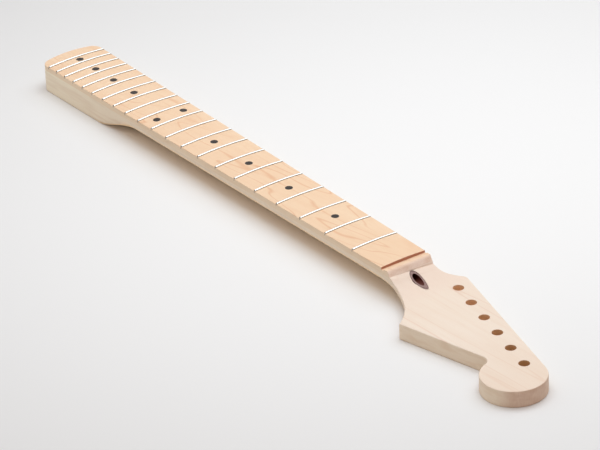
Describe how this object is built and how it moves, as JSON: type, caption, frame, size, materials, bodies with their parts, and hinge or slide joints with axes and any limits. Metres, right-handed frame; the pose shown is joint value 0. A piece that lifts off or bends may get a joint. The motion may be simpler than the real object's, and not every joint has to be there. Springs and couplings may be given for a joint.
{
  "type": "guitar neck",
  "caption": "Bolt-on electric guitar neck with a glued maple fingerboard, frets, dot inlays, angled-shoulder headstock and an adjustable truss rod.",
  "frame": {"origin": "centre of the heel's flat mounting face, midway between its four screw holes", "axes": "+X along the neck towards the headstock, +Y towards the bass side, +Z out of the fingerboard"},
  "size_m": [0.6659, 0.0879, 0.026],
  "materials": {
    "neck_maple": "satin",
    "board_maple": "satin",
    "fret_wire": "polished",
    "dot_plastic": "satin",
    "rod_steel": "plain",
    "block_brass": "plain",
    "walnut": "raw"
  },
  "bodies": {
    "neck": {"neck": "neck_maple", "fingerboard": "board_maple", "fret_01": "fret_wire", "fret_02": "fret_wire", "fret_03": "fret_wire", "fret_04": "fret_wire", "fret_05": "fret_wire", "fret_06": "fret_wire", "fret_07": "fret_wire", "fret_08": "fret_wire", "fret_09": "fret_wire", "fret_10": "fret_wire", "fret_11": "fret_wire", "fret_12": "fret_wire", "fret_13": "fret_wire", "fret_14": "fret_wire", "fret_15": "fret_wire", "fret_16": "fret_wire", "fret_17": "fret_wire", "fret_18": "fret_wire", "fret_19": "fret_wire", "fret_20": "fret_wire", "fret_21": "fret_wire", "dot_03": "dot_plastic", "dot_05": "dot_plastic", "dot_07": "dot_plastic", "dot_09": "dot_plastic", "dot_12_bass": "dot_plastic", "dot_12_treble": "dot_plastic", "dot_15": "dot_plastic", "dot_17": "dot_plastic", "dot_19": "dot_plastic", "dot_21": "dot_plastic", "side_dot_03": "dot_plastic", "side_dot_05": "dot_plastic", "side_dot_07": "dot_plastic", "side_dot_09": "dot_plastic", "side_dot_12_a": "dot_plastic", "side_dot_12_b": "dot_plastic", "side_dot_15": "dot_plastic", "side_dot_17": "dot_plastic", "side_dot_19": "dot_plastic", "side_dot_21": "dot_plastic", "truss_flat_bar": "rod_steel", "truss_block_heel": "block_brass", "truss_block_head": "block_brass", "truss_plug": "walnut"},
    "truss_screw": {"truss_rod": "rod_steel", "truss_adjuster": "rod_steel"}
  },
  "joints": [
    {"name": "truss_screw_turn", "type": "hinge", "parent": "neck", "child": "truss_screw", "pos_m": [0.41614, 0, 0.0125], "axis": [1, 0, 0], "range_deg": [-330, 330]}
  ]
}
